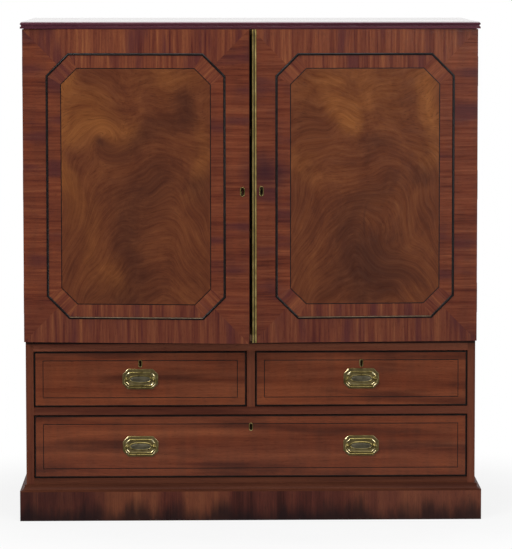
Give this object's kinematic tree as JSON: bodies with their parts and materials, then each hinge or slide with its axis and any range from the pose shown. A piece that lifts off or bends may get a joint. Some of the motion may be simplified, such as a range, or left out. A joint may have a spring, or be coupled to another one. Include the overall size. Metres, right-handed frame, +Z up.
{
  "type": "side cabinet",
  "caption": "Wooden side cabinet: a cupboard with canted inlaid panels on two doors over small drawers and a long drawer, on a moulded plinth.",
  "frame": {"origin": "on the floor, in the middle of the plinth's outline, on the underside of its centre bearer", "axes": "+X to the right along the front, +Y to the back, +Z up; the front faces -Y"},
  "size_m": [1.2, 0.5958, 1.296],
  "materials": {
    "mahogany": "polished reddish brown",
    "crossbanding": "polished, grain across the bands",
    "figured_veneer": "polished, flame figure",
    "ebonised_wood": "black, polished",
    "inner_wood": "plain, unpolished",
    "brass": "aged, rubbed bright on its edges",
    "iron": "dull"
  },
  "bodies": {
    "cabinet": {"top_board": "mahogany", "upper_sides": "mahogany", "inner_top": "inner_wood", "upper_bottom": "inner_wood", "back_boards": "inner_wood", "shelves": "inner_wood", "shelf_bearers": "inner_wood", "lower_sides": "mahogany", "lower_top": "mahogany", "drawer_partition": "mahogany", "middle_rail": "mahogany", "bottom_board": "mahogany", "drawer_runners": "inner_wood", "plinth_front": "mahogany", "plinth_sides": "mahogany", "plinth_back": "inner_wood", "plinth_bearer": "inner_wood", "plinth_blocks": "inner_wood", "plinth_moulding": "mahogany", "case_hinge_leaves": "brass", "hinge_pins": "brass"},
    "left_door": {"left_door_frame": "mahogany", "left_door_bands": "crossbanding", "left_door_bead": "ebonised_wood", "left_door_string": "ebonised_wood", "left_door_field": "figured_veneer", "left_door_hinge_leaves": "brass", "left_door_plates": "brass", "left_door_bolt_guides": "brass"},
    "right_door": {"right_door_frame": "mahogany", "right_door_bands": "crossbanding", "right_door_bead": "ebonised_wood", "right_door_string": "ebonised_wood", "right_door_field": "figured_veneer", "right_door_hinge_leaves": "brass", "right_door_strip": "brass", "right_door_lock": "brass"},
    "left_door_top_bolt": {"left_door_top_bolt": "brass"},
    "left_door_bottom_bolt": {"left_door_bottom_bolt": "brass"},
    "right_door_lock_bolt": {"right_door_lock_bolt": "iron"},
    "left_drawer": {"left_drawer_front": "mahogany", "left_drawer_box": "inner_wood", "left_drawer_inlay": "ebonised_wood", "left_drawer_brassware": "brass"},
    "left_drawer_lock_bolt": {"left_drawer_lock_bolt": "iron"},
    "right_drawer": {"right_drawer_front": "mahogany", "right_drawer_box": "inner_wood", "right_drawer_inlay": "ebonised_wood", "right_drawer_brassware": "brass"},
    "right_drawer_lock_bolt": {"right_drawer_lock_bolt": "iron"},
    "long_drawer": {"long_drawer_front": "mahogany", "long_drawer_box": "inner_wood", "long_drawer_inlay": "ebonised_wood", "long_drawer_brassware": "brass"},
    "long_drawer_lock_bolt": {"long_drawer_lock_bolt": "iron"},
    "left_drawer_bail": {"left_drawer_bail": "brass"},
    "right_drawer_bail": {"right_drawer_bail": "brass"},
    "long_drawer_left_bail": {"long_drawer_left_bail": "brass"},
    "long_drawer_right_bail": {"long_drawer_right_bail": "brass"}
  },
  "joints": [
    {"name": "left_door_hinge", "type": "hinge", "parent": "cabinet", "child": "left_door", "pos_m": [-0.585, -0.2525, 0.8735], "axis": [0, 0, -1], "range_deg": [-5, 95]},
    {"name": "right_door_hinge", "type": "hinge", "parent": "cabinet", "child": "right_door", "pos_m": [0.585, -0.2525, 0.8735], "axis": [0, 0, 1], "range_deg": [-3, 97]},
    {"name": "left_door_top_bolt_slide", "type": "slide", "parent": "left_door", "child": "left_door_top_bolt", "axis": [0, 0, 1], "range_m": [0, 0.014]},
    {"name": "left_door_bottom_bolt_slide", "type": "slide", "parent": "left_door", "child": "left_door_bottom_bolt", "axis": [0, 0, -1], "range_m": [0, 0.014]},
    {"name": "right_door_lock_bolt_slide", "type": "slide", "parent": "right_door", "child": "right_door_lock_bolt", "axis": [-0.9986, -0.0523, 0], "range_m": [0, 0.008]},
    {"name": "left_drawer_slide", "type": "slide", "parent": "cabinet", "child": "left_drawer", "axis": [0, -1, 0], "range_m": [0, 0.38]},
    {"name": "left_drawer_lock_bolt_slide", "type": "slide", "parent": "left_drawer", "child": "left_drawer_lock_bolt", "axis": [0, 0, 1], "range_m": [0, 0.008]},
    {"name": "right_drawer_slide", "type": "slide", "parent": "cabinet", "child": "right_drawer", "axis": [0, -1, 0], "range_m": [0, 0.38]},
    {"name": "right_drawer_lock_bolt_slide", "type": "slide", "parent": "right_drawer", "child": "right_drawer_lock_bolt", "axis": [0, 0, 1], "range_m": [0, 0.008]},
    {"name": "long_drawer_slide", "type": "slide", "parent": "cabinet", "child": "long_drawer", "axis": [0, -1, 0], "range_m": [0, 0.38]},
    {"name": "long_drawer_lock_bolt_slide", "type": "slide", "parent": "long_drawer", "child": "long_drawer_lock_bolt", "axis": [0, 0, 1], "range_m": [0, 0.008]},
    {"name": "left_drawer_bail_hinge", "type": "hinge", "parent": "left_drawer", "child": "left_drawer_bail", "pos_m": [-0.28725, -0.26, 0.369], "axis": [-1, 0, 0], "range_deg": [0, 85]},
    {"name": "right_drawer_bail_hinge", "type": "hinge", "parent": "right_drawer", "child": "right_drawer_bail", "pos_m": [0.28725, -0.26, 0.369], "axis": [-1, 0, 0], "range_deg": [0, 85]},
    {"name": "long_drawer_left_bail_hinge", "type": "hinge", "parent": "long_drawer", "child": "long_drawer_left_bail", "pos_m": [-0.287, -0.26, 0.19275], "axis": [-1, 0, 0], "range_deg": [0, 85]},
    {"name": "long_drawer_right_bail_hinge", "type": "hinge", "parent": "long_drawer", "child": "long_drawer_right_bail", "pos_m": [0.287, -0.26, 0.19275], "axis": [-1, 0, 0], "range_deg": [0, 85]}
  ]
}
